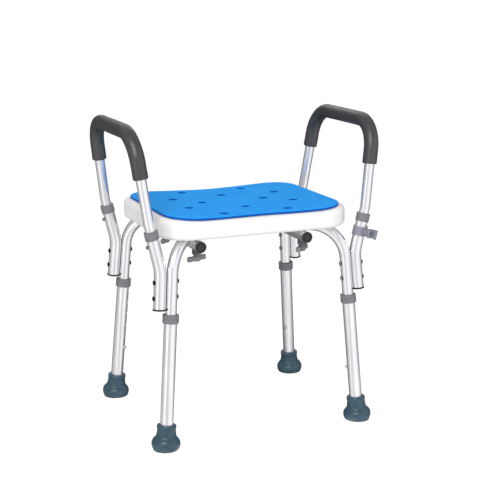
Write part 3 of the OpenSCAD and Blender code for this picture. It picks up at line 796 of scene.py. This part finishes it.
def finish_piece(obj, body, slot, stands_for=None, degrees=30, finish=None):
    """Shades a piece, gives it its finish, hangs it on the body it rides on, and hides the CAD part it
    stands for.
    """
    smooth(obj, degrees)
    obj.data.materials.clear()
    obj.data.materials.append(FINISHES[finish or slot])
    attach(obj, body)
    if stands_for:
        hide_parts(stands_for)


def foot_piece(key, sx, sy):
    """A rubber foot, cut off level where it stands, with a grooved sole."""
    outer = flowing([(24.4, -3), (24.8, 0.8), (26.4, 3), (27.5, 6.5), (28, 10.5), (27.6, 14.5),
                     (26.2, 18), (23.8, 21), (21.2, 23.6), (19.8, 26.5), (19, 30.5), (18.4, 35), (18.2, 39),
                     (18.7, 42), (18.9, 44.4), (18.5, 46.3), (17.6, 47.5), (16.2, 48), (14, 48),
                     (13.1, 47.6), (12.8, 46.6)])
    profile = [(1, -3)] + outer + [(12.8, 7.4), (1, 7.4)]
    place = leg_space(sx, sy) @ Matrix.Scale(MM, 4)
    obj = add_object(f"foot_rubber_{key}", mesh_from_rings("foot", lathe_rings(profile, 72, place)))
    middle = Matrix.Translation((sx * LEG_REACH * math.cos(LEG_AZIMUTH),
                                 sy * LEG_REACH * math.sin(LEG_AZIMUTH), 0)) @ Matrix.Scale(MM, 4)
    floor = [(0.5, -20), (60, -20), (60, 0), (0.5, 0)]
    cutters = [mesh_from_rings("floor", lathe_rings(floor, 32, middle))]
    cut(obj, joined("floor_cutter", cutters))
    grooves = [[(r, -1), (r + 2, -1), (r + 1.6, 1), (r + 0.4, 1)] for r in (6, 11, 16)]
    cut(obj, joined("grooves", [mesh_from_rings("groove", lathe_rings(g, 48, middle), closed=True)
                                for g in grooves]))
    finish_piece(obj, f"leg_{key}", "foot_rubber", f"foot_{key}")


def button_profile(shoulder, tip):
    """A snap button with a domed tip, in millimetres along its own axis."""
    r = BUTTON_R / MM
    dome = 2.6
    return ([(1, shoulder), (r + 1, shoulder), (r + 1, shoulder + 1), (r, shoulder + 1)]
            + arc(0, tip - dome, r, 0, 84, 8, dome))


def button_pieces(key, sx, sy):
    scale = Matrix.Scale(MM, 4)
    inward = (leg_space(sx, sy) @ Matrix.Translation((0, 0, LEG_BUTTON_S))
              @ Matrix.Rotation(math.radians(-90), 4, "Y") @ scale)
    turned(f"leg_snap_button_{key}", f"leg_snap_{key}", "bright_steel", f"leg_button_{key}",
           [(button_profile(7.3, 16.7), inward)], segments=32)
    outward = (socket_space(sx, sy) @ Matrix.Translation((0, 0, ARM_BUTTON_S))
               @ Matrix.Rotation(math.radians(90), 4, "Y") @ scale)
    turned(f"arm_snap_button_{key}", f"arm_snap_{key}", "bright_steel", f"arm_button_{key}",
           [(button_profile(6.2, 16.8), outward)], segments=32, finish="button_steel")


def leg_collar_piece(key, sx, sy):
    """The moulded collar over the top of a lower leg."""
    outer, top, bottom = 15.8, 7.5, -9.5
    profile = ([(12.75, bottom)] + arc(outer - 1.2, bottom + 1.2, 1.2, -90, 0)
               + [(outer, -1.2), (outer - 0.35, -0.8), (outer - 0.35, -0.2), (outer, 0.2)]
               + arc(outer - 1.5, top - 1.5, 1.5, 0, 90) + arc(12, top - 0.8, 0.8, 90, 180)
               + [(11.2, 0.05), (12.75, 0.05)])
    place = leg_space(sx, sy) @ Matrix.Translation((0, 0, COLLAR_S)) @ Matrix.Scale(MM, 4)
    turned(f"leg_guide_collar_{key}", f"leg_{key}", "grey_plastic", f"leg_collar_{key}",
           [(profile, place)], closed=True)


def socket_trim_pieces():
    """Collars, end caps, bolts and nuts on the four arm sockets."""
    scale = Matrix.Scale(MM, 4)
    outer, top, bottom = 13.6, 7, -10
    collar = ([(12.02, bottom)] + arc(outer - 1, bottom + 1, 1, -90, 0)
              + arc(outer - 1.3, top - 1.3, 1.3, 0, 90) + arc(10.9, top - 0.7, 0.7, 90, 180)
              + [(10.15, 0.05), (12.02, 0.05)])
    cap = ([(1, -3.2)] + arc(11.8, -2, 1.2, -90, 0) + arc(12.5, -0.5, 0.5, 0, 90)
           + [(10.05, 0), (10.05, 14), (1, 14)])
    head, bolt = 4.7, 3.0
    collars, caps, bolts, washers, nuts = [], [], [], [], []
    outwards = Matrix.Rotation(math.radians(90), 4, "Y") @ scale
    inwards = Matrix.Rotation(math.radians(-90), 4, "Y") @ scale
    for sx, sy in CORNERS.values():
        corner = Matrix.Diagonal((sx, sy, 1, 1))
        collars.append((collar, socket_space(sx, sy) @ Matrix.Translation((0, 0, SOCKET_TOP_S)) @ scale))
        up = (ELBOW - SOCKET_FOOT).to_track_quat("Z", "Y").to_matrix().to_4x4()
        caps.append((cap, corner @ Matrix.Translation(SOCKET_FOOT) @ up @ scale))
        for z, y in BOLTS:
            outside = socket_x_at(z) + SOCKET_R + 0.35 * MM
            inside = leg_x_at(z) - FRAME_R - 0.45 * MM
            length = (outside - inside) / MM + 1.5
            out = corner @ Matrix.Translation((outside, y, z)) @ outwards
            back = corner @ Matrix.Translation((inside, y, z)) @ inwards
            bolts.append(([(1, -length), (bolt, -length), (bolt, 0), (head, 0)]
                          + arc(0, 0.5, head, 0, 82, 8, 1.7), out))
            washers.append(([(bolt + 0.05, 0), (head, 0), (head, 0.6), (head - 0.4, 1),
                             (bolt + 0.05, 1)], back))
            nuts.append(([(1, 1.6), (bolt + 0.05, 1.6), (bolt + 0.05, 1.02), (head - 1, 1.02)]
                         + arc(0, 1.3, head - 1, 0, 82, 8, 1.5), back))
    turned("socket_guide_collars", "stool_frame", "grey_plastic", "socket_collars", collars, closed=True)
    leg_r = FRAME_R / MM + 0.15
    leg = [(0.5, 0), (leg_r, 0), (leg_r, 390), (0.5, 390)]
    legs = [mesh_from_rings("leg", lathe_rings(leg, 48, leg_space(sx, sy) @ scale))
            for sx, sy in CORNERS.values()]
    turned("socket_end_caps", "stool_frame", "black_plastic", "socket_caps", caps, without=legs)
    turned("socket_dome_bolts", "stool_frame", "black_steel", "socket_bolts", bolts, segments=32)
    turned("socket_nut_washers", "stool_frame", "black_plastic", None, washers, segments=32, closed=True)
    turned("socket_dome_nuts", "stool_frame", "bright_steel", "socket_nuts", nuts, segments=32)


def plug_pieces():
    """Push-in plugs with a ring of fine ribs on their faces."""
    segments = 96
    profile = [(1, -12), (8.6, -12), (8.6, -10.2)]
    for z in (-10, -6, -2):
        profile += [(8.6, z), (9.65, z + 0.2), (9.65, z + 1.2), (8.6, z + 1.4)]
    profile += [(11.1, 0.02)] + arc(10.6, 2.4, 0.8, 0, 90) + [(9.7, 3.2), (9.3, 2.2)]
    ribs = [(8.7, 2.2), (8.5, 2.9), (5.6, 2.9), (5.4, 2.2)]
    middle = [(5.0, 2.2), (4.7, 2.8), (1.5, 2.8), (1.2, 2.2), (0.5, 2.2)]
    meshes = []
    for sx, sy in CORNERS.values():
        place = (Matrix.Diagonal((sx, sy, 1, 1))
                 @ Matrix.Translation((SIDE_X, SIDE_HALF, FRAME_Z - 2 * FRAME_R))
                 @ Matrix.Rotation(math.radians(-90), 4, "X") @ Matrix.Scale(MM, 4))
        rings = lathe_rings(profile + ribs + middle, segments)
        first = len(profile)
        for row in rings[first + 1:first + 3]:
            for i, point in enumerate(row):
                if i // 2 % 2:
                    point.z -= 0.6
        meshes.append(mesh_from_rings("plug", [[place @ p for p in row] for row in rings]))
    finish_piece(joined("side_tube_end_plugs", meshes), "stool_frame", "black_plastic",
                 "side_tube_plugs", finish="plug_plastic")


def wing_piece(key, sx, sy):
    """A wing screw: a soft-edged plastic wing on a hub, moulded round a threaded stud."""
    quarter = flowing([(23, 0), (22.6, 2.4), (20.8, 4.4), (18, 5), (14.8, 4.2), (12, 3.2), (9, 3.4),
                       (5.6, 5.6), (2.6, 7.1), (0, 7.5)], 3)
    half = quarter + [(-x, y) for x, y in reversed(quarter[:-1])]
    outline = [Vector(p) for p in half] + [Vector((x, -y)) for x, y in reversed(half[1:-1])]
    levels = [(2.2, -5), (1.2, -4.7), (0.4, -4), (0, -3), (0, 3), (0.4, 4), (1.2, 4.7), (2.2, 5)]
    place = (Matrix.Translation((sx * SIDE_X, sy * SIDE_X * math.tan(LEG_AZIMUTH), WING_Z))
             @ Matrix.Rotation(math.radians(WING_TURNS[key]), 4, "Z") @ Matrix.Scale(MM, 4))
    obj = add_object(f"wing_knob_{key}", slab("wing", outline, levels))
    hub = ([(1, -5.5)] + arc(6, -4.5, 1, -90, 0, 4) + [(7.2, 3)] + arc(6.2, 4.6, 0.6, 40, 90, 3)
           + [(6.0, 5.4), (6.1, 6.4), (6.5, 7.2), (6.5, 8.2), (1, 8.2)])
    fuse(obj, add_object("hub", mesh_from_rings("hub", lathe_rings(hub, 48))))
    obj.data.transform(place)
    finish_piece(obj, f"wing_{key}", "wing_plastic", f"wing_screw_{key}", 40)

    radius, start, stop, pitch = STUD_R / MM, 8.2, (INSERT_TOP - WING_Z) / MM - 1, 1.5
    thread = [(1, start)]
    z = start
    while z + pitch < stop:
        thread += [(radius, z + 0.15 * pitch), (radius - 0.5, z + 0.65 * pitch)]
        z += pitch
    thread += [(radius - 0.5, stop), (1, stop)]
    turned(f"wing_stud_{key}", f"wing_{key}", "spring_steel", None, [(thread, place)], segments=24)


def softened(name, node, body, slot, width):
    """A copy of a CAD node with its outer edges rounded over, which stands for the node."""
    obj = add_object(name, frame["nodes"][node].data.copy())
    bm = bmesh.new()
    bm.from_mesh(obj.data)
    bmesh.ops.remove_doubles(bm, verts=bm.verts, dist=0.002 * MM)
    bmesh.ops.dissolve_limit(bm, angle_limit=math.radians(1.5), verts=bm.verts, edges=bm.edges)
    bm.to_mesh(obj.data)
    bm.free()
    bevel = obj.modifiers.new("bevel", "BEVEL")
    bevel.width = width
    bevel.segments = 3
    bevel.limit_method = "ANGLE"
    bevel.angle_limit = math.radians(40)
    bevel.harden_normals = False
    apply_modifiers(obj)
    finish_piece(obj, body, slot, node, 35)


# ---- stage, lights and camera ----

def make_stage():
    """A level floor: plain white to the eye, and light and dark by direction in reflections.
    It lies as low as the feet reach when the legs are drawn right out."""
    top, reach = -130 * MM, 60
    bottom = top - 20 * MM
    floor = add_object("floor", mesh_from_rings(
        "floor", lathe_rings([(0.001, bottom), (reach, bottom), (reach, top), (0.001, top)], 96)))
    f = Finish("floor", roughness=0.9, colour=(0.2, 0.2, 0.2))
    f.set("Emission Color", (1, 1, 1, 1))
    f.set("Specular IOR Level", 0.0)
    seen = f.node("ShaderNodeLightPath").outputs["Is Camera Ray"]
    glow = f.glow_round(f.coords, 0.0, 0.46, 0.55, 0.5)
    mixed = f.node("ShaderNodeMapRange")
    for socket, number in zip(mixed.inputs[:5], (seen, 0.0, 1.0, glow, 0.9)):
        f.feed(socket, number)
    f.feed(f.shader.inputs["Emission Strength"], mixed.outputs[0])
    floor.data.materials.append(f.material)


def make_world():
    """A pale studio: bright above, and lighter before the stool than behind it at the horizon."""
    world = bpy.data.worlds.new("studio")
    bpy.context.scene.world = world
    world.use_nodes = True
    g = Graph(world.node_tree)
    background = g.nodes["Background"]
    coords = g.node("ShaderNodeTexCoord").outputs["Generated"]
    split = g.node("ShaderNodeSeparateXYZ")
    g.links.new(coords, split.inputs[0])
    horizon = g.glow_round(coords, 0.12, 0.62, 0.55)
    above = g.eased(split.outputs["Z"], 0.1, 0.7, 0.0, 1.0)
    strength = g.node("ShaderNodeMapRange")
    for socket, number in zip(strength.inputs[:5], (above, 0.0, 1.0, horizon, 0.62)):
        g.feed(socket, number)
    seen = g.node("ShaderNodeLightPath").outputs["Is Camera Ray"]
    white = g.node("ShaderNodeMapRange")
    for socket, number in zip(white.inputs[:5], (seen, 0.0, 1.0, strength.outputs[0], 1.1)):
        g.feed(socket, number)
    background.inputs["Color"].default_value = (0.97, 0.97, 1.0, 1)
    g.links.new(white.outputs[0], background.inputs["Strength"])


def area_light(name, place, aim, size, watts):
    light = bpy.data.lights.new(name, "AREA")
    light.shape = "RECTANGLE"
    light.size, light.size_y = size
    light.energy = watts
    obj = add_object(name, light)
    obj.location = place
    obj.rotation_euler = (Vector(aim) - Vector(place)).to_track_quat("-Z", "Y").to_euler()


def make_lights():
    middle = (0, 0, 0.35)
    area_light("key", (-1.6, -2.0, 2.4), middle, (1.2, 1.2), 48)
    area_light("fill", (2.4, -1.4, 1.6), middle, (1.4, 2.0), 7)
    area_light("strip", (-2.1, -1.0, 0.45), (0, 0, 0.25), (0.5, 1.2), 3)
    area_light("rim", (0.8, 2.4, 2.0), middle, (2.0, 1.2), 9)


def make_camera():
    data = bpy.data.cameras.new("camera")
    data.sensor_width = 36
    data.lens = 89.9
    data.clip_start = 0.05
    data.clip_end = 200
    camera = add_object("camera", data)
    camera.location = (-0.917224, -2.212831, 0.899826)
    camera.rotation_euler = (math.pi / 2 - 0.222, 0, -0.399)
    bpy.context.scene.camera = camera


make_camera()
paint_cad_nodes()
seat_piece()
pad_piece()
for name, sign in (("left", -1), ("right", 1)):
    grip_piece(name, sign)
for corner_key, corner_signs in CORNERS.items():
    foot_piece(corner_key, *corner_signs)
    button_pieces(corner_key, *corner_signs)
    leg_collar_piece(corner_key, *corner_signs)
    wing_piece(corner_key, *corner_signs)
socket_trim_pieces()
plug_pieces()
softened("shower_clamp", "holder_clamp", "stool_frame", "holder_plastic", 0.7 * MM)
softened("shower_handle_clip", "holder_clip", "shower_clip", "holder_plastic", 0.6 * MM)
make_stage()
make_world()
make_lights()
bpy.context.scene.view_settings.view_transform = "Standard"
